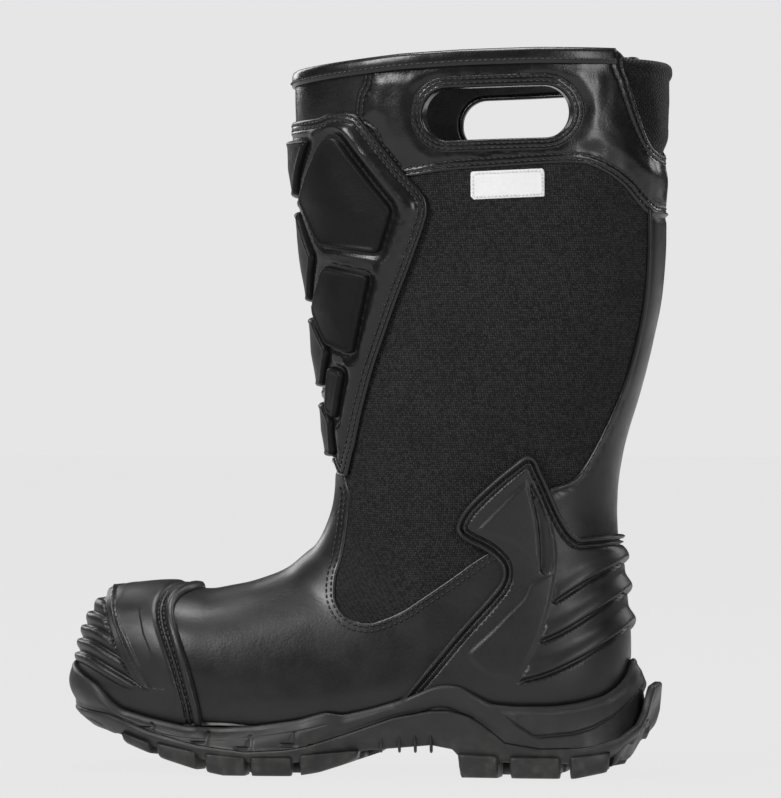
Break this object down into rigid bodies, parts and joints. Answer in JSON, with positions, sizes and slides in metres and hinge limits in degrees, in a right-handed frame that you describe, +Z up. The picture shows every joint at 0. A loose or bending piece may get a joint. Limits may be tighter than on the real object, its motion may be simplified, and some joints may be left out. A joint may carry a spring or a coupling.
{
  "type": "structural fire boot",
  "caption": "Tall pull-on fire boot for the left foot: rubber lug sole, leather foot and shin, textile sides, padded shin guard, and a leather collar with two pull holes and a stretch gusset.",
  "frame": {"origin": "on the floor under the middle of the boot's box, with the boot standing on its tread", "axes": "+Z up the leg, toe towards -X, heel towards +X, outer (lateral) side towards -Y, inner side towards +Y"},
  "size_m": [0.3244, 0.1156, 0.3785],
  "materials": {
    "sole_rubber": "matte moulded black rubber",
    "moulded_rubber": "matte black moulded rubber with fine texture",
    "pad_rubber": "satin black moulded rubber",
    "leather": "smooth full-grain black leather, semi-gloss",
    "collar_leather": "soft black leather, glossy, lightly wrinkled",
    "woven_textile": "dull black woven textile",
    "gusset_knit": "ribbed black stretch fabric",
    "knit_lining": "black ribbed knit",
    "insulation_felt": "needled felt",
    "membrane": "thin matte film",
    "foam": "closed-cell foam with a fabric face",
    "steel": "brushed",
    "stiffener_board": "fibreboard",
    "woven_label": "pale grey woven tape, blank"
  },
  "bodies": {
    "root": {"backstay": "leather", "collar_binding": "collar_leather", "collar_facing": "knit_lining", "collar_front": "collar_leather", "collar_gusset": "gusset_knit", "collar_inner_side": "collar_leather", "collar_outer_side": "collar_leather", "collar_padding": "foam", "footbed": "foam", "handle_rim_inner_side": "collar_leather", "handle_rim_outer_side": "collar_leather", "heel_counter": "moulded_rubber", "heel_stiffener": "stiffener_board", "insole_board": "stiffener_board", "insulation": "insulation_felt", "label": "woven_label", "lining": "knit_lining", "midsole": "sole_rubber", "moisture_barrier": "membrane", "outsole": "sole_rubber", "puncture_plate": "steel", "quarter_inner_side": "woven_textile", "quarter_outer_side": "woven_textile", "safety_toe_cap": "steel", "shank": "steel", "shin_foam": "foam", "shin_guard": "collar_leather", "shin_pad_inner_1": "pad_rubber", "shin_pad_inner_2": "pad_rubber", "shin_pad_inner_3": "pad_rubber", "shin_pad_middle_1": "pad_rubber", "shin_pad_middle_2": "pad_rubber", "shin_pad_middle_3": "pad_rubber", "shin_pad_middle_4": "pad_rubber", "shin_pad_outer_1": "pad_rubber", "shin_pad_outer_2": "pad_rubber", "shin_pad_outer_3": "pad_rubber", "shin_panel": "leather", "toe_guard": "moulded_rubber", "vamp": "leather"}
  },
  "joints": []
}
